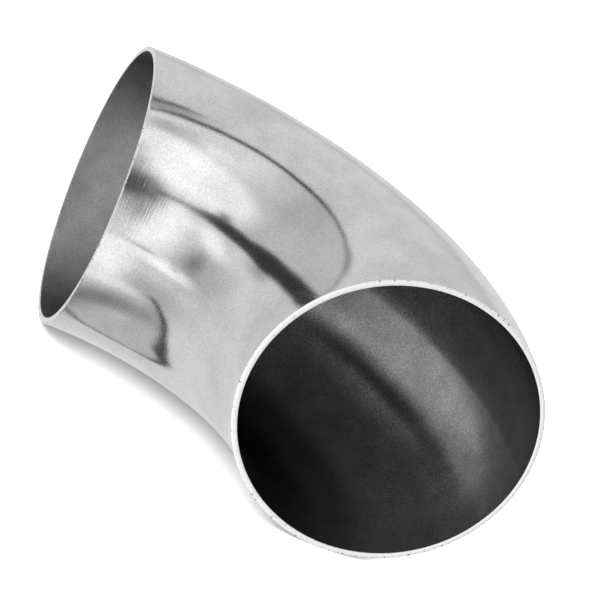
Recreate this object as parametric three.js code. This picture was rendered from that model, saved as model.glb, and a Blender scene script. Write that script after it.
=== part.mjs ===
// Short radius 90 degree pipe elbow of thin stainless steel.
//
// Two pressed half shells meet in the plane of the bend. One seam weld joins them along the outside of
// the bend and one along the inside. Both welds are dressed flush, outside and in the bore. Both ports are
// cut square, ready for butt welding.
//
// Units are millimetres and +Z is up. The elbow lies on its side: the plane of the bend is level, port A
// faces -Y and port B faces -X. The origin is the middle of the footprint, on the surface it lies on.
import * as THREE from 'three';

// Driving dimensions.
const outerDiameter = 76.2;
const bendRadius = 75;
const wallThickness = 1.5;
// The wall is thinner by this much outside the bend and thicker by it inside, as forming leaves it.
const boreOffset = 0.15;
const seamWidth = 3;

// Facets.
const sidesPerShell = 31; // odd, so that a narrow flat lies along the crown of each shell
const sidesPerSeam = 2;
const stepsAlongBend = 30;

// Derived sizes.
const outerRadius = outerDiameter / 2;
const boreRadius = outerRadius - wallThickness;
const seamHalf = seamWidth / 2;
const outerSeamAngle = Math.asin(seamHalf / outerRadius);
const boreSeamAngle = Math.asin(seamHalf / boreRadius);
const footprintHalf = (bendRadius + outerRadius) / 2;

const polishedSteel = { color: 0xc4c5c6, roughness: 0.22, metalness: 1 };
const dressedWeld = { color: 0xb4b5b6, roughness: 0.34, metalness: 1 };

// The centreline of the pipe: a quarter circle about the origin, from port B on +Y to port A on +X.
class BendCentreline extends THREE.Curve {
  getPoint(t, target = new THREE.Vector3()) {
    const angle = (1 - t) * Math.PI / 2;
    return target.set(bendRadius * Math.cos(angle), bendRadius * Math.sin(angle), 0);
  }

  getTangent(t, target = new THREE.Vector3()) {
    const angle = (1 - t) * Math.PI / 2;
    return target.set(Math.sin(angle), -Math.cos(angle), 0);
  }
}

// Sections are drawn with x pointing away from the centre of the bend and y pointing up, and their
// origin is on the centreline.
function arc(centreX, radius, startAngle, endAngle, sides) {
  const clockwise = endAngle < startAngle;
  const curve = new THREE.EllipseCurve(centreX, 0, radius, radius, startAngle, endAngle, clockwise);
  return curve.getPoints(sides);
}

// Half of the pipe wall, above the plane of the bend for side 1 and below it for side -1.
function shellSection(side) {
  const outerEdge = side * outerSeamAngle;
  const boreEdge = side * boreSeamAngle;
  const halfTurn = side * Math.PI;
  return [
    ...arc(0, outerRadius, outerEdge, halfTurn - outerEdge, sidesPerShell),
    ...arc(boreOffset, boreRadius, halfTurn - boreEdge, boreEdge, sidesPerShell),
  ];
}

// The weld between the two shells, outside the bend for side 1 and inside it for side -1.
function seamSection(side) {
  const middle = side > 0 ? 0 : Math.PI;
  const outerFace = arc(0, outerRadius, middle - outerSeamAngle, middle + outerSeamAngle, sidesPerSeam);
  const boreFace = arc(boreOffset, boreRadius, middle + boreSeamAngle, middle - boreSeamAngle, sidesPerSeam);
  return [...outerFace, ...boreFace];
}

// The extrusion lays the section's own x along -Z and its own y away from the centre of the bend.
function sweepAlongBend(points) {
  const turned = points.map((point) => new THREE.Vector2(-point.y, point.x));
  return new THREE.ExtrudeGeometry(new THREE.Shape(turned), {
    steps: stepsAlongBend,
    extrudePath: new BendCentreline(),
  });
}

function addPiece(group, name, section, finish) {
  const mesh = new THREE.Mesh(sweepAlongBend(section), new THREE.MeshStandardMaterial(finish));
  mesh.name = name;
  group.add(mesh);
}

const elbow = new THREE.Group();
elbow.position.set(-footprintHalf, -footprintHalf, outerRadius);

addPiece(elbow, 'upper_half_shell', shellSection(1), polishedSteel);
addPiece(elbow, 'lower_half_shell', shellSection(-1), polishedSteel);
addPiece(elbow, 'outer_seam_weld', seamSection(1), dressedWeld);
addPiece(elbow, 'inner_seam_weld', seamSection(-1), dressedWeld);

export default elbow;
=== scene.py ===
import math

import bpy
import numpy as np
from mathutils import Matrix, Vector, noise


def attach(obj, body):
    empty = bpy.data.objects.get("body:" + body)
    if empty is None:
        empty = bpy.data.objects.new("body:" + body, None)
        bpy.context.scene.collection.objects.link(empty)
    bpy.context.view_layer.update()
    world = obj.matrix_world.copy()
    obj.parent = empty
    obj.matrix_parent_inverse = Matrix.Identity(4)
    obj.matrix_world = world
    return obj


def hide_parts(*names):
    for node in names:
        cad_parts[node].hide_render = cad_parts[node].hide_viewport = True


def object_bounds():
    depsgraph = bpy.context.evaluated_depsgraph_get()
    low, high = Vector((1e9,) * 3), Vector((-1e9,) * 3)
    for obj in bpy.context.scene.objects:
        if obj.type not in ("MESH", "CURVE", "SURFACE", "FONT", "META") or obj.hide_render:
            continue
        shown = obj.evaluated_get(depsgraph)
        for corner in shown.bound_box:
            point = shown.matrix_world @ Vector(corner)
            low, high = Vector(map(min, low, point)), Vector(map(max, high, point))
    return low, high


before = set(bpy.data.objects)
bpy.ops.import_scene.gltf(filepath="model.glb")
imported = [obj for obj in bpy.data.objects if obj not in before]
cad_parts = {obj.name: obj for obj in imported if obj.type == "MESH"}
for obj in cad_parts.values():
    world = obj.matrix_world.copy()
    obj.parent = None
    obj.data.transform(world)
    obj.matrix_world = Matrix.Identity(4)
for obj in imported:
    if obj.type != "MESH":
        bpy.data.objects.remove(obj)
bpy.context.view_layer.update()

# Sizes of the elbow, in metres.
OUTER_RADIUS = 0.0381
BEND_RADIUS = 0.075
WALL = 0.0015
BORE_OFFSET = 0.00015
SEAM_WIDTH = 0.003
RIM_ROUND = 0.00012
BORE_RADIUS = OUTER_RADIUS - WALL

# The pressed wall is slightly uneven: the height of its waves and how long they are.
WAVE_HEIGHT = 0.00003
WAVE_LENGTH = 0.016

QUARTER = math.pi / 2
PIPE_LENGTH = BEND_RADIUS * QUARTER
SEAM_ANGLE = math.asin(SEAM_WIDTH / 2 / OUTER_RADIUS)
BORE_SEAM_ANGLE = math.asin(SEAM_WIDTH / 2 / BORE_RADIUS)

# How finely the smooth surfaces are made, and the angle from which an edge stays sharp.
SHELL_SIDES = 144
SEAM_SIDES = 6
BEND_STEPS = 144
RIM_ROUND_STEPS = 4
SHARP_EDGE = math.radians(50)

# The camera looks towards this azimuth from +Y towards +X, downwards by the elevation, and tilted, all in
# degrees. It aims near the middle of the elbow. Lens and sensor are in millimetres, the rest in metres.
VIEW_AZIMUTH = 15.85
VIEW_ELEVATION = 21.755
VIEW_ROLL = 27.06
VIEW_DISTANCE = 0.7535
LENS = 176.6
AIM_OFFSET = Vector((0.0006, -0.00085, -0.00164))
SENSOR_WIDTH = 36
NEAREST = 0.01

# Noise scales per metre. The lines and streaks of the belt, the forming lines and the nicks have one scale
# round the pipe and one along it. The others are the same in every direction.
BELT_LINES = (90, 3400, 1)
BELT_STREAKS = (130, 850, 1)
FORMING_LINES = (60, 2200, 1)
RIM_NICKS = (600, 1, 1)
GRAIN = 2600
SAW_MARKS = 900
SPECKS = 700
STAINS = 110
CLOUDS = 60
NICKED_PARTS = 40

# The outside: its darkest and brightest shade, its roughness, and the depth of its scratches.
STEEL_SHADES = (0.59, 0.89)
SHELL_ROUGHNESS = 0.08
WELD_ROUGHNESS = 0.11
ROUGHNESS_SPREAD = 0.05
SHELL_SCRATCHES = 0.0000060
WELD_SCRATCHES = 0.0000070

# The belt left coarser streaks at port B: how far they reach along the pipe, their level above the middle,
# and how far from that level they start to fade and end. The pair is their height elsewhere and there.
RUBBED_LENGTH = 0.032
RUBBED_LEVEL = 0.008
RUBBED_CORE = 0.006
RUBBED_EDGE = 0.018
STREAK_HEIGHTS = (0.3, 9)

# The cut rims: darkest and brightest shade, set near white as a painted highlight on the bright cut metal,
# smoothest and roughest, specks, nicks and saw marks.
RIM_SHADES = (0.84, 0.99)
RIM_ROUGHNESS = (0.20, 0.30)
SPECK_SHADE = 0.8
NICK_SHADE = 0.25
NICK_DEPTH = 0.0005
NICK_SOFTNESS = 0.0002
SAW_DEPTH = 0.00001

# Share of the light that the bore gives back: brushed near port B, darker elsewhere as painted shade
# inside the bore, and on the band of painted highlight.
BRUSHED_BORE = 0.68
SHADED_DEEP_BORE = 0.19
HIGHLIGHT_BAND_BORE = 0.35
BRUSHED_ROUGHNESS = 0.5
FORMED_ROUGHNESS = 0.22
STAIN_SHADES = (0.85, 1.12)
FORMING_DEPTH = 0.000003

# The brushed end is this deep. Its painted light is brightest at this angle below the outside of the bend,
# in radians, and its side in painted shade gives back this share of that.
BRUSHED_DEPTH = 0.0105
BRIGHTEST_LIT_ANGLE = 0.35
SHADED_SIDE_SHARE = 0.26

# The band of painted highlight lies between two distances round the pipe, and its two edges are this soft.
HIGHLIGHT_BAND_START = -0.0165
HIGHLIGHT_BAND_END = -0.0012
HIGHLIGHT_BAND_START_SOFTNESS = 0.003
HIGHLIGHT_BAND_END_SOFTNESS = 0.0013

# The highlight band changes between two lengths along the pipe: its start moves round the pipe from one
# distance to another, and its painted light is a smaller share near port A and in the second half of the
# pipe.
HIGHLIGHT_BAND_LEAN = (0.018, 0.055, -0.0008, 0.0014)
HIGHLIGHT_BAND_NEAR_PORT_A = (0.008, 0.028, 0.74, 1)
HIGHLIGHT_BAND_SECOND_HALF = (0.062, 0.057, 0.66, 1)

# Ovals of painted light and shade, where the bore is brighter or darker: middle round and along the pipe,
# half sizes, and how much.
BORE_OVALS = (
    ((-0.089, 0.015), (0.030, 0.050), 2.1),
    ((-0.042, 0.052), (0.021, 0.040), 0.65),
    ((-0.0225, 0.014), (0.009, 0.013), 1.35),
    ((-0.0245, 0.044), (0.0045, 0.024), 1.35),
    ((-0.0180, 0.055), (0.0045, 0.015), 0.58),
    ((-0.0205, 0.028), (0.0035, 0.014), 1.45),
    ((-0.0145, 0.022), (0.0055, 0.012), 0.70),
    ((-0.005, PIPE_LENGTH), (0.035, 0.006), 0.78),
    ((0.022, PIPE_LENGTH), (0.022, 0.014), 0.75),
)

# Share of the light that polished steel gives back, which sets how bright the studio is.
STEEL_REFLECTANCE = 0.75

# The direction of the panel on the right, in degrees.
PANEL = (38, 20)

# Where the map of the sky starts, in degrees.
FIRST_AZIMUTH = -270

# Tones from 0 to 1: the studio where nothing is painted, and as it is seen by way of two reflections.
STUDIO_TONE = 0.69
EVEN_TONE = 0.85

# The floor and the light above it, in metres and watts.
FLOOR_HALF_SIZE = 6
FLOOR_TONE = 0.92
FLOOR_ROUGHNESS = 0.9
OVERHEAD_WIDTH = 8
OVERHEAD_HEIGHT = 2
OVERHEAD_POWER = 900

LOW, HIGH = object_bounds()
BEND_CENTRE = Vector((LOW.x, LOW.y, (LOW.z + HIGH.z) / 2))
OUTSIDE, RIM, BORE = range(3)


# ---------------------------------------------------------------- the wall

def along_bend(local_radius):
    """Bend angles and depths of a skin's lengthwise lines, from port A to port B.

    Each line starts on the rim face, rolls over a small round and then runs along the skin."""
    turn = np.linspace(0, QUARTER, RIM_ROUND_STEPS + 1)
    offset = RIM_ROUND * (1 - np.cos(turn))[:, None] / local_radius
    depth = RIM_ROUND * (1 - np.sin(turn))
    # A line close behind each round keeps the smooth shading of the skin flat up to it.
    support = 3 * RIM_ROUND / local_radius
    middle = np.linspace(support, QUARTER - support, BEND_STEPS)
    angles = np.concatenate([offset, middle, QUARTER - offset[::-1]])
    depths = np.concatenate([depth, np.zeros(BEND_STEPS), depth[::-1]])
    return angles, depths


def waviness(points):
    """Height of the uneven wall at each point.

    Both skins use the same points, so the wall keeps its thickness."""
    heights = [noise.fractal(Vector(point) / WAVE_LENGTH, 1, 3, 2) for point in points.reshape(-1, 3)]
    return WAVE_HEIGHT * np.array(heights).reshape(points.shape[:-1])


def skin(section_angles, radius, centre_offset, inward):
    """Points of one skin of the wall as [line, side], and their lengths round and along the pipe."""
    outward = centre_offset + radius * np.cos(section_angles)
    up = radius * np.sin(section_angles)
    angles, depths = along_bend(BEND_RADIUS + outward)
    middle = BEND_RADIUS + OUTER_RADIUS * np.cos(section_angles)
    level = OUTER_RADIUS * np.sin(section_angles)
    level = np.broadcast_to(level, angles.shape)
    on_wall = np.stack([middle * np.cos(angles), middle * np.sin(angles), level], axis=-1)
    shrink = 1 - inward * depths[:, None] / radius + waviness(on_wall) / radius
    reach = BEND_RADIUS + centre_offset + (outward - centre_offset) * shrink
    points = np.stack([reach * np.cos(angles), reach * np.sin(angles), up * shrink], axis=-1)
    round_pipe = np.broadcast_to(section_angles * OUTER_RADIUS, angles.shape)
    return points + np.array(BEND_CENTRE), np.stack([round_pipe, angles * BEND_RADIUS], axis=-1)


def wall_faces(rows, columns):
    """Faces and their material slots for two skins of rows by columns points, closed at every edge."""
    faces = []
    slots = []

    def corner(row, column, inside):
        return (row + (rows if inside else 0)) * columns + column

    def add(slot, *corners, flip=False):
        faces.append([corner(*c) for c in (corners[::-1] if flip else corners)])
        slots.append(slot)

    for row in range(rows - 1):
        rounded = row < RIM_ROUND_STEPS or row >= rows - 1 - RIM_ROUND_STEPS
        for column in range(columns - 1):
            square = (row, column), (row + 1, column), (row + 1, column + 1), (row, column + 1)
            add(RIM if rounded else OUTSIDE, *[(*c, False) for c in square])
            add(RIM if rounded else BORE, *[(*c, True) for c in square], flip=True)
        for column in (0, columns - 1):
            add(RIM, (row, column, False), (row, column, True),
                (row + 1, column, True), (row + 1, column, False), flip=column > 0)
    for row in (0, rows - 1):
        for column in range(columns - 1):
            add(RIM, (row, column, False), (row, column + 1, False),
                (row, column + 1, True), (row, column, True), flip=row > 0)
    return faces, slots


def level_in_bore(edge):
    """The bore's angle at the same height as an angle of the outside at the edge of a seam."""
    side = math.copysign(1, math.cos(edge) * math.sin(edge))
    return edge + side * (BORE_SEAM_ANGLE - SEAM_ANGLE)


def wall_piece(name, start, end, sides, materials):
    """A strip of the pipe wall between two angles round the section, closed on all sides.

    Its long edges are level, so that each piece meets the next one face to face."""
    outer_angles = np.linspace(start, end, sides + 1)
    bore_angles = np.linspace(level_in_bore(start), level_in_bore(end), sides + 1)
    outer, outer_lengths = skin(outer_angles, OUTER_RADIUS, 0, 1)
    bore, bore_lengths = skin(bore_angles, BORE_RADIUS, BORE_OFFSET, -1)
    points = np.concatenate([outer.reshape(-1, 3), bore.reshape(-1, 3)])
    lengths = np.concatenate([outer_lengths.reshape(-1, 2), bore_lengths.reshape(-1, 2)])
    faces, slots = wall_faces(*outer.shape[:2])

    mesh = bpy.data.meshes.new(name)
    mesh.from_pydata(points.tolist(), [], faces)
    for material in materials:
        mesh.materials.append(material)
    mesh.polygons.foreach_set("material_index", slots)
    mesh.polygons.foreach_set("use_smooth", [True] * len(faces))
    corners = np.empty(len(mesh.loops), int)
    mesh.loops.foreach_get("vertex_index", corners)
    mesh.uv_layers.new(name="pipe_lengths").uv.foreach_set("vector", lengths[corners].ravel())
    mesh.update()
    mesh.set_sharp_from_angle(angle=SHARP_EDGE)
    piece = bpy.data.objects.new(name, mesh)
    bpy.context.scene.collection.objects.link(piece)
    return piece


# ---------------------------------------------------------------- nodes

class Nodes:
    """Short names for the nodes that the materials and the studio light are made of."""

    def __init__(self, tree):
        self.tree = tree

    def new(self, kind, settings=None, **inputs):
        node = self.tree.nodes.new("ShaderNode" + kind)
        for key, value in (settings or {}).items():
            setattr(node, key, value)
        for key, value in inputs.items():
            self.feed(node.inputs[key.replace("_", " ")], value)
        return node

    def feed(self, socket, value):
        if isinstance(value, bpy.types.NodeSocket):
            self.tree.links.new(value, socket)
        else:
            socket.default_value = value

    def math(self, operation, *values):
        node = self.new("Math", {"operation": operation})
        for socket, value in zip(node.inputs, values):
            self.feed(socket, value)
        return node.outputs[0]

    def step(self, value, low, high, to_low=0.0, to_high=1.0, smooth=True):
        """Goes from to_low to to_high while value goes from low to high."""
        node = self.new("MapRange", {"interpolation_type": "SMOOTHSTEP" if smooth else "LINEAR"},
                        Value=value, From_Min=low, From_Max=high, To_Min=to_low, To_Max=to_high)
        return node.outputs["Result"]

    def blend(self, share, first, second):
        """Goes evenly from first to second while share goes from 0 to 1."""
        return self.step(share, 0, 1, first, second, smooth=False)

    def both(self, first, second):
        return self.math("MULTIPLY", first, second)

    def length(self, x, y):
        return self.math("SQRT", self.math("MULTIPLY_ADD", x, x, self.math("MULTIPLY", y, y)))

    def mapped(self, coordinates, scale):
        return self.new("Mapping", Vector=coordinates, Scale=scale).outputs[0]

    def oval(self, coordinates, centre, half_sizes, tilt=0.0):
        """Distance from the middle of an oval, where 1 is the oval's edge. The tilt is in degrees."""
        place = self.new("Mapping", {"vector_type": "TEXTURE"}, Vector=coordinates)
        place.inputs["Location"].default_value = (*centre, 0)
        place.inputs["Rotation"].default_value = (0, 0, math.radians(tilt))
        place.inputs["Scale"].default_value = (*half_sizes, 1)
        return self.new("VectorMath", {"operation": "LENGTH"}, Vector=place.outputs[0]).outputs["Value"]

    def noise(self, coordinates, scale, detail=2.0, roughness=0.5):
        node = self.new("TexNoise", Vector=coordinates, Scale=scale, Detail=detail, Roughness=roughness)
        return node.outputs["Fac"]


# ---------------------------------------------------------------- metal finishes

def metal(name):
    """A new metal, its nodes, and the two coordinates that its patterns follow."""
    material = bpy.data.materials.new(name)
    material.use_nodes = True
    shader = material.node_tree.nodes["Principled BSDF"]
    shader.inputs["Metallic"].default_value = 1
    nodes = Nodes(material.node_tree)
    pipe = nodes.new("UVMap", {"uv_map": "pipe_lengths"}).outputs[0]
    place = nodes.new("TexCoord").outputs["Object"]
    return material, shader, nodes, pipe, place


def from_centreline(nodes, place):
    """How far each point is from the middle of the pipe."""
    away = nodes.new("VectorMath", {"operation": "SUBTRACT"})
    nodes.feed(away.inputs[0], place)
    away.inputs[1].default_value = BEND_CENTRE
    part = nodes.new("SeparateXYZ", Vector=away.outputs[0]).outputs
    reach = nodes.length(part["X"], part["Y"])
    return nodes.length(nodes.math("SUBTRACT", reach, BEND_RADIUS), part["Z"])


def set_bump(nodes, shader, height, distance):
    bump = nodes.new("Bump", Height=height, Distance=distance, Strength=1.0)
    nodes.feed(shader.inputs["Normal"], bump.outputs[0])


def fine_lines(nodes, pipe, scale):
    return nodes.noise(nodes.mapped(pipe, scale), 1, 3, 0.6)


def rubbed_area(nodes, pipe, place):
    """1 where the belt rubbed hardest: near port B and near one level, fading away from both."""
    along = nodes.new("SeparateXYZ", Vector=pipe).outputs["Y"]
    height = nodes.new("SeparateXYZ", Vector=place).outputs["Z"]
    from_level = nodes.math("ABSOLUTE", nodes.math("SUBTRACT", height, BEND_CENTRE.z + RUBBED_LEVEL))
    near_level = nodes.step(from_level, RUBBED_EDGE, RUBBED_CORE)
    near_port_b = nodes.step(along, PIPE_LENGTH - RUBBED_LENGTH, PIPE_LENGTH)
    return nodes.both(near_level, near_port_b)


def polished(name, roughness, scratch_depth):
    """Polished with a fine belt that ran round the pipe, over a faint grain."""
    material, shader, nodes, pipe, place = metal(name)
    lines = fine_lines(nodes, pipe, BELT_LINES)
    streaks = nodes.noise(nodes.mapped(pipe, BELT_STREAKS), 1, 1)
    grain = nodes.noise(place, GRAIN, 1)
    clouds = nodes.noise(place, CLOUDS, 3, 0.6)
    clouds = nodes.step(clouds, 0.3, 0.7, 0.0, 0.5)
    shade = nodes.math("MULTIPLY_ADD", nodes.step(grain, 0.3, 0.7), 0.5, clouds)
    nodes.feed(shader.inputs["Base Color"], nodes.blend(shade, *STEEL_SHADES))
    roughness = nodes.step(lines, 0.3, 0.75, roughness, roughness + ROUGHNESS_SPREAD)
    nodes.feed(shader.inputs["Roughness"], roughness)
    streak_height = nodes.blend(rubbed_area(nodes, pipe, place), *STREAK_HEIGHTS)
    scratches = nodes.math("MULTIPLY_ADD", grain, 0.6, lines)
    scratches = nodes.math("MULTIPLY_ADD", streaks, streak_height, scratches)
    set_bump(nodes, shader, scratches, scratch_depth)
    return material


def highlight_band(nodes, where):
    """1 on the band of painted highlight, whose start leans a little along the pipe, and 0 beside it."""
    lean = nodes.step(where["Y"], *HIGHLIGHT_BAND_LEAN)
    from_start = nodes.math("SUBTRACT", nodes.math("SUBTRACT", where["X"], lean), HIGHLIGHT_BAND_START)
    after_start = nodes.step(from_start, -HIGHLIGHT_BAND_START_SOFTNESS, HIGHLIGHT_BAND_START_SOFTNESS)
    to_end = nodes.math("SUBTRACT", HIGHLIGHT_BAND_END, where["X"])
    before_end = nodes.step(to_end, -HIGHLIGHT_BAND_END_SOFTNESS, HIGHLIGHT_BAND_END_SOFTNESS)
    return nodes.both(after_start, before_end)


def bore_tone(nodes, where, band, deep):
    """Share of the light that the bore gives back, before its stains and grain: painted shade away from
    the brushed end and on its sides, and a painted highlight band.
    """
    # Painted highlight: the band brightens the reflection of the light let in through port B, less near
    # port A and in the second half of the pipe.
    near_port_a = nodes.step(where["Y"], *HIGHLIGHT_BAND_NEAR_PORT_A)
    second_half = nodes.step(where["Y"], *HIGHLIGHT_BAND_SECOND_HALF)
    band_highlight = nodes.math("MULTIPLY", nodes.both(near_port_a, second_half), HIGHLIGHT_BAND_BORE)
    # Away from the brushed end the bore is darker: painted shade inside the bore, except on the highlight
    # band.
    shaded_rest = nodes.blend(band, SHADED_DEEP_BORE, band_highlight)
    # The brushed end is darker on its sides, as painted shade, and brightest at one angle below the
    # outside of the bend.
    from_brightest = nodes.math("MULTIPLY_ADD", where["X"], 1 / OUTER_RADIUS, BRIGHTEST_LIT_ANGLE)
    facing = nodes.math("COSINE", from_brightest)
    brushed_and_shaded = nodes.step(facing, 0.3, 1.0, SHADED_SIDE_SHARE * BRUSHED_BORE, BRUSHED_BORE)
    return nodes.blend(deep, brushed_and_shaded, shaded_rest)


def bore_finish():
    """Smooth as formed and darkened by painted shade, with stains and forming lines, and brushed brighter
    inside port B.

    A band of painted highlight, the reflection of the light let in through port B, runs beside the outer
    seam weld."""
    material, shader, nodes, pipe, place = metal("bore_finish")
    where = nodes.new("SeparateXYZ", Vector=pipe).outputs
    band = highlight_band(nodes, where)
    from_port_b = nodes.math("SUBTRACT", PIPE_LENGTH, where["Y"])
    deep = nodes.step(from_port_b, 0.92 * BRUSHED_DEPTH, 1.08 * BRUSHED_DEPTH)

    # The grain is finer on the band of painted highlight and finest on the brushed end.
    spread = nodes.both(nodes.blend(band, 0.70, 0.45), nodes.step(deep, 0, 1, 0.4, 1))
    grain = nodes.step(nodes.noise(place, GRAIN, 1), 0.3, 0.7, -0.5, 0.5)
    grain = nodes.math("MULTIPLY_ADD", grain, spread, 1)
    stains = nodes.step(nodes.noise(place, STAINS, 4, 0.65), 0.3, 0.7, *STAIN_SHADES)
    tone = nodes.both(bore_tone(nodes, where, band, deep), nodes.both(stains, grain))
    # Ovals of painted light and shade brighten or darken the bore.
    for centre, half_sizes, strength in BORE_OVALS:
        away = nodes.oval(pipe, centre, half_sizes)
        tone = nodes.both(tone, nodes.step(away, 1, 0.2, 1, strength))

    nodes.feed(shader.inputs["Base Color"], tone)
    nodes.feed(shader.inputs["Roughness"], nodes.blend(deep, BRUSHED_ROUGHNESS, FORMED_ROUGHNESS))
    set_bump(nodes, shader, fine_lines(nodes, pipe, FORMING_LINES), FORMING_DEPTH)
    return material


def nicks(nodes, pipe, place):
    """1 in the nicks, which lie in groups along the outer edge of the rim."""
    inner_end = OUTER_RADIUS - NICK_DEPTH
    reach = from_centreline(nodes, place)
    outer_edge = nodes.step(reach, inner_end - NICK_SOFTNESS, inner_end + NICK_SOFTNESS)
    cuts = nodes.step(nodes.noise(nodes.mapped(pipe, RIM_NICKS), 1, 3, 0.7), 0.55, 0.60)
    nicked = nodes.step(nodes.noise(place, NICKED_PARTS, 1), 0.42, 0.52)
    return nodes.both(nodes.both(cuts, nicked), outer_edge)


def cut_rim():
    """Square cut and lightly deburred, bright, near white as a painted highlight, with fine marks of the
    saw, specks and dark nicks.
    """
    material, shader, nodes, pipe, place = metal("cut_rim")
    marks = nodes.noise(place, SAW_MARKS, 3, 0.7)
    specks = nodes.step(nodes.noise(place, SPECKS, 2), 0.64, 0.72, 1, SPECK_SHADE)
    # The near-white shades paint the highlight along the rim over the bright cut metal.
    tone = nodes.both(nodes.step(marks, 0.2, 0.8, *RIM_SHADES), specks)
    tone = nodes.both(tone, nodes.step(nicks(nodes, pipe, place), 0, 1, 1, NICK_SHADE))
    nodes.feed(shader.inputs["Base Color"], tone)
    nodes.feed(shader.inputs["Roughness"], nodes.step(marks, 0.3, 0.7, *RIM_ROUGHNESS))
    set_bump(nodes, shader, marks, SAW_DEPTH)
    return material


# ---------------------------------------------------------------- studio

def reflected(tone):
    """Radiance that polished steel shows as this display tone, from 0 to 1, by the sRGB curve."""
    return ((tone + 0.055) / 1.055) ** 2.4 / STEEL_REFLECTANCE


def compass(azimuth, elevation):
    """Unit vector at an azimuth from +Y towards +X and an elevation, both in degrees."""
    turn = math.radians(azimuth)
    rise = math.radians(elevation)
    return math.sin(turn) * math.cos(rise), math.cos(turn) * math.cos(rise), math.sin(rise)


class Sky(Nodes):
    """The studio's light as a function of direction, painted one soft shape at a time.

    Directions are in degrees. Azimuths run from -270 to 90, and the camera is near -164."""

    def __init__(self, tree, tone):
        super().__init__(tree)
        self.direction = self.new("TexCoord").outputs["Generated"]
        part = self.new("SeparateXYZ", Vector=self.direction).outputs
        turn = self.math("ARCTAN2", part["Y"], self.math("MULTIPLY", part["X"], -1))
        self.azimuth = self.math("MULTIPLY_ADD", turn, math.degrees(1), FIRST_AZIMUTH + 180)
        self.elevation = self.math("MULTIPLY", self.math("ARCSINE", part["Z"]), math.degrees(1))
        self.map = self.new("CombineXYZ", X=self.azimuth, Y=self.elevation).outputs[0]
        self.light = self.math("ADD", reflected(tone), 0)

    def angle_from(self, azimuth, elevation):
        dot = self.new("VectorMath", {"operation": "DOT_PRODUCT"})
        self.feed(dot.inputs[0], self.direction)
        dot.inputs[1].default_value = compass(azimuth, elevation)
        return self.math("MULTIPLY", self.math("ARCCOSINE", dot.outputs["Value"]), math.degrees(1))

    def disc(self, azimuth, elevation, core, edge):
        """1 within core degrees of a direction, falling to 0 at edge degrees."""
        return self.step(self.angle_from(azimuth, elevation), edge, core)

    def ring(self, azimuth, elevation, opening, core, edge):
        """1 within core degrees of a circle on the sky, falling to 0 at edge degrees from it."""
        away = self.math("ABSOLUTE", self.math("SUBTRACT", self.angle_from(azimuth, elevation), opening))
        return self.step(away, edge, core)

    def patch(self, azimuth, elevation, width, height, tilt=0.0, core=0.25):
        """1 in the core of an oval, falling to 0 at its edge. Width and height are half sizes."""
        away = self.oval(self.map, (azimuth, elevation), (width, height), tilt)
        return self.step(away, 1, core)

    def curve(self, *points):
        """A value that follows points of (azimuth, value), with values between -90 and 90."""
        share = self.step(self.azimuth, FIRST_AZIMUTH, FIRST_AZIMUTH + 360, smooth=False)
        node = self.new("FloatCurve", Value=share)
        curve = node.mapping.curves[0]
        places = [((azimuth - FIRST_AZIMUTH) / 360, (value + 90) / 180) for azimuth, value in points]
        places = [(0, places[0][1]), *places, (1, places[-1][1])]
        curve.points[0].location = places[0]
        curve.points[1].location = places[-1]
        for place in places[1:-1]:
            curve.points.new(*place)
        for point in curve.points:
            point.handle_type = "AUTO_CLAMPED"
        node.mapping.update()
        return self.math("MULTIPLY_ADD", node.outputs[0], 180, -90)

    def band(self, line, half_width, soft):
        """1 within half_width degrees of a curve, falling to 0 over soft degrees more."""
        away = self.math("ABSOLUTE", self.math("SUBTRACT", self.elevation, line))
        return self.step(self.math("SUBTRACT", away, half_width), soft, 0)

    def below(self, line):
        return self.step(self.math("SUBTRACT", self.elevation, line), 1, -1)

    def paint(self, mask, tone):
        """Moves the light towards a tone where mask is 1."""
        change = self.math("SUBTRACT", reflected(tone), self.light)
        self.light = self.math("MULTIPLY_ADD", mask, change, self.light)


def paint_upper_diffuser(sky, above):
    """Bright above the gap, and dimmer in two spots near the zenith."""
    sky.paint(sky.disc(0, 90, 7, 36), 0.86)
    sky.paint(sky.both(above, sky.patch(-151, 60, 66, 31, -9, 0.4)), 1.0)
    sky.paint(sky.both(above, sky.patch(-118, 53, 38, 20, -10, 0.1)), 0.90)
    sky.paint(sky.disc(-177, 87, 3, 10), 0.77)
    sky.paint(sky.patch(-205, 71, 24, 10, 0, 0.3), 0.95)
    sky.paint(sky.disc(-232, 83, 1.5, 7), 0.68)
    sky.paint(sky.disc(-97, 81, 2, 7), 0.92)


def paint_side_diffuser(sky):
    """The panel on the right, with a thin gap round it that is double near the top."""
    sky.paint(sky.disc(*PANEL, 58.4, 60.2), 0.765)
    sky.paint(sky.disc(35, 74, 3, 9), 0.62)
    sky.paint(sky.patch(17, 2, 24, 16, 0, 0.2), 0.70)
    fading = sky.step(sky.elevation, 15, 65, 0.5, 1)
    sky.paint(sky.both(sky.ring(*PANEL, 59.4, 0.4, 1.4), fading), 0.16)
    sky.paint(sky.both(sky.ring(*PANEL, 59.3, 0.8, 2.2), sky.disc(-14, 69, 11, 22)), 0.10)
    sky.paint(sky.both(sky.ring(*PANEL, 58.2, 0.3, 1.8), sky.disc(-25, 32, 3, 10)), 0.50)
    sky.paint(sky.both(sky.ring(*PANEL, 51.9, 0.6, 2.0), sky.disc(35, 71, 5, 11)), 0.25)


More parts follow.
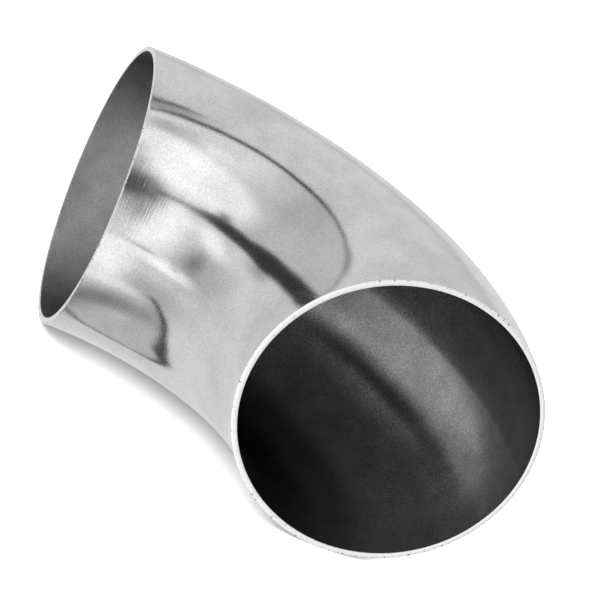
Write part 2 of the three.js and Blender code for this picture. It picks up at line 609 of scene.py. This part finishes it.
def paint_lower_diffuser(sky, below):
    """Uneven below the gap, down to the table: lighter and darker patches with one thin dark line."""
    sky.paint(below, 0.78)
    sky.paint(sky.both(below, sky.patch(-115, -4, 43, 23, 5)), 0.69)
    sky.paint(sky.both(below, sky.patch(-158, 14, 28, 35, -14, 0.3)), 0.98)
    sky.paint(sky.both(below, sky.patch(-120, 19, 24, 10, -28)), 0.95)
    sky.paint(sky.patch(-143, 23, 11, 6, 0, 0), 0.98)
    sky.paint(sky.patch(-79, 15.5, 20, 7.5, -8, 0), 0.60)
    sky.paint(sky.patch(-124, -1, 13, 16, -5, 0), 0.51)
    sky.paint(sky.patch(-146, -13, 42, 7, -5, 0.2), 1.0)
    sky.paint(sky.patch(-134, -11.5, 9, 4, 0, 0), 0.75)
    sky.paint(sky.patch(-180, -13, 16, 4, 0, 0.3), 0.97)
    sky.paint(sky.patch(-169, -3.5, 9, 3, 0, 0), 0.97)
    sky.paint(sky.patch(-172, -8, 34, 1.9, -3.5, 0.3), 0.50)
    sky.paint(sky.patch(-180, -24, 27, 28, -5, 0.3), 0.96)
    sky.paint(sky.patch(-131, -38, 48, 15, -4), 0.68)
    sky.paint(sky.patch(-181, -44.5, 48, 7, -1), 0.90)


def paint_table(sky):
    """Grey below, with a dark edge away from the camera that is thin on the right."""
    sky.paint(sky.disc(0, -90, 10, 20), 0.685)
    edge = sky.curve((-140, -41), (-120, -48.5), (-105, -56.5), (-90, -64), (-60, -69),
                     (-30, -67), (0, -72.5), (60, -80))
    away_from_camera = sky.step(sky.azimuth, -145, -130)
    sky.paint(sky.both(sky.below(edge), away_from_camera), 0.685)
    sky.paint(sky.patch(-186, -66, 110, 17, 8, 0.1), 0.48)
    width = sky.curve((-140, 0.8), (-120, 1.8), (-107, 2.6), (-92, 2.4), (-75, 2.7),
                      (-58, 2.2), (-42, 1.6), (-27, 1.2), (-12, 0.3))
    sky.paint(sky.both(sky.band(edge, width, 1.2), away_from_camera), 0.26)


def paint_gap(sky, gap):
    """The dark gap between the diffusers: thin and faint near the camera, and wide on the left."""
    width = sky.curve((-150, 0.5), (-137, 1.4), (-125, 2.4), (-110, 3.4), (-97, 3.2),
                      (-80, 4.8), (-62, 4.0), (-45, 3.5), (-20, 2.4))
    strength = sky.both(sky.step(sky.azimuth, -150, -120, 0.6, 1), sky.step(sky.azimuth, -2, -12))
    sky.paint(sky.both(sky.band(gap, width, 2.4), strength), 0.19)
    sky.paint(sky.patch(-118, 38.5, 10, 5, 0, 0), 0.40)


def paint_camera(sky):
    """The dark camera, with a grey part above it and lighter parts below and inside it."""
    sky.paint(sky.patch(-192, 51, 9, 8, 0, 0), 0.70)
    sky.paint(sky.patch(-187, 32.5, 36, 18.5, -4), 0.32)
    sky.paint(sky.patch(-178, 18, 18, 17, 5, 0), 0.57)
    sky.paint(sky.patch(-176, 36, 7, 6, 0, 0), 0.55)


def paint_far_side(sky):
    """A softbox over a darker floor, where the steel that the camera sees doesn't mirror it."""
    sky.paint(sky.disc(100, 0, 26, 46), 0.60)
    sky.paint(sky.disc(100, -52, 14, 32), 0.42)
    sky.paint(sky.disc(95, 34, 10, 27), 1.0)


def paint_for_two_reflections(sky):
    """The studio as it is seen by way of two or more reflections: even, but darker right and left."""
    twice = sky.math("GREATER_THAN", sky.new("LightPath").outputs["Ray Depth"], 2.5)
    sky.paint(twice, EVEN_TONE)
    sky.paint(sky.both(twice, sky.disc(105, 10, 35, 55)), 0.43)
    sky.paint(sky.both(twice, sky.patch(-54, 39, 29, 13, 0, 0.65)), 0.25)
    sky.paint(sky.both(twice, sky.patch(-38, 15, 18, 18, 0, 0.6)), 0.20)


def make_studio_light():
    world = bpy.data.worlds.new("studio")
    world.use_nodes = True
    bpy.context.scene.world = world
    sky = Sky(world.node_tree, STUDIO_TONE)
    gap = sky.curve((-200, 35.5), (-150, 35), (-120, 33), (-90, 26), (-60, 18), (-33, 9.5), (-20, 6))
    below = sky.below(gap)
    paint_upper_diffuser(sky, sky.math("SUBTRACT", 1, below))
    paint_side_diffuser(sky)
    paint_lower_diffuser(sky, below)
    paint_table(sky)
    paint_gap(sky, gap)
    paint_camera(sky)
    paint_far_side(sky)
    paint_for_two_reflections(sky)

    background = world.node_tree.nodes["Background"]
    sky.feed(background.inputs["Strength"], sky.light)
    background.inputs["Color"].default_value = (1, 1, 1, 1)


def make_floor():
    """A pale floor. The steel mirrors the table that is painted in the studio instead of it."""
    mesh = bpy.data.meshes.new("floor")
    size = FLOOR_HALF_SIZE
    corners = [(-size, -size, 0), (size, -size, 0), (size, size, 0), (-size, size, 0)]
    mesh.from_pydata(corners, [], [(0, 1, 2, 3)])
    floor = bpy.data.objects.new("floor", mesh)
    bpy.context.scene.collection.objects.link(floor)
    material = bpy.data.materials.new("pale_floor")
    material.use_nodes = True
    shader = material.node_tree.nodes["Principled BSDF"]
    shader.inputs["Base Color"].default_value = (FLOOR_TONE, FLOOR_TONE, FLOOR_TONE, 1)
    shader.inputs["Roughness"].default_value = FLOOR_ROUGHNESS
    shader.inputs["Specular IOR Level"].default_value = 0
    mesh.materials.append(material)
    floor.visible_glossy = False


def make_overhead_light():
    """Whitens the floor. It doesn't show in the steel."""
    light = bpy.data.lights.new("overhead", "AREA")
    light.shape = "DISK"
    light.size = OVERHEAD_WIDTH
    light.energy = OVERHEAD_POWER
    lamp = bpy.data.objects.new("overhead", light)
    lamp.location = (0, 0, OVERHEAD_HEIGHT)
    lamp.visible_glossy = False
    bpy.context.scene.collection.objects.link(lamp)


def make_camera():
    data = bpy.data.cameras.new("camera")
    data.lens = LENS
    data.sensor_width = SENSOR_WIDTH
    data.clip_start = NEAREST
    camera = bpy.data.objects.new("camera", data)
    bpy.context.scene.collection.objects.link(camera)
    forward = Vector(compass(VIEW_AZIMUTH, -VIEW_ELEVATION))
    level = forward.cross(Vector((0, 0, 1))).normalized()
    right = Matrix.Rotation(-math.radians(VIEW_ROLL), 3, forward) @ level
    turn = Matrix((right, right.cross(forward), -forward)).transposed()
    aim = (LOW + HIGH) / 2 + AIM_OFFSET
    camera.matrix_world = Matrix.Translation(aim - VIEW_DISTANCE * forward) @ turn.to_4x4()
    bpy.context.scene.camera = camera


def make_elbow():
    """The two shells and the two welds, between angles from the outside of the bend upwards."""
    rim = cut_rim()
    bore = bore_finish()
    shell = [polished("polished_outside", SHELL_ROUGHNESS, SHELL_SCRATCHES), rim, bore]
    weld = [polished("dressed_outside", WELD_ROUGHNESS, WELD_SCRATCHES), rim, bore]
    turn = math.pi
    pieces = (
        ("upper_shell", "upper_half_shell", "polished_stainless",
         SEAM_ANGLE, turn - SEAM_ANGLE, SHELL_SIDES, shell),
        ("lower_shell", "lower_half_shell", "polished_stainless",
         SEAM_ANGLE - turn, -SEAM_ANGLE, SHELL_SIDES, shell),
        ("outer_seam", "outer_seam_weld", "dressed_weld",
         -SEAM_ANGLE, SEAM_ANGLE, SEAM_SIDES, weld),
        ("inner_seam", "inner_seam_weld", "dressed_weld",
         turn - SEAM_ANGLE, turn + SEAM_ANGLE, SEAM_SIDES, weld),
    )
    for name, node, slot, start, end, sides, materials in pieces:
        piece = wall_piece(name, start, end, sides, materials)
        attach(piece, "root")
        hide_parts(node)


make_camera()
make_studio_light()
make_floor()
make_overhead_light()
make_elbow()
bpy.context.scene.view_settings.view_transform = "Standard"
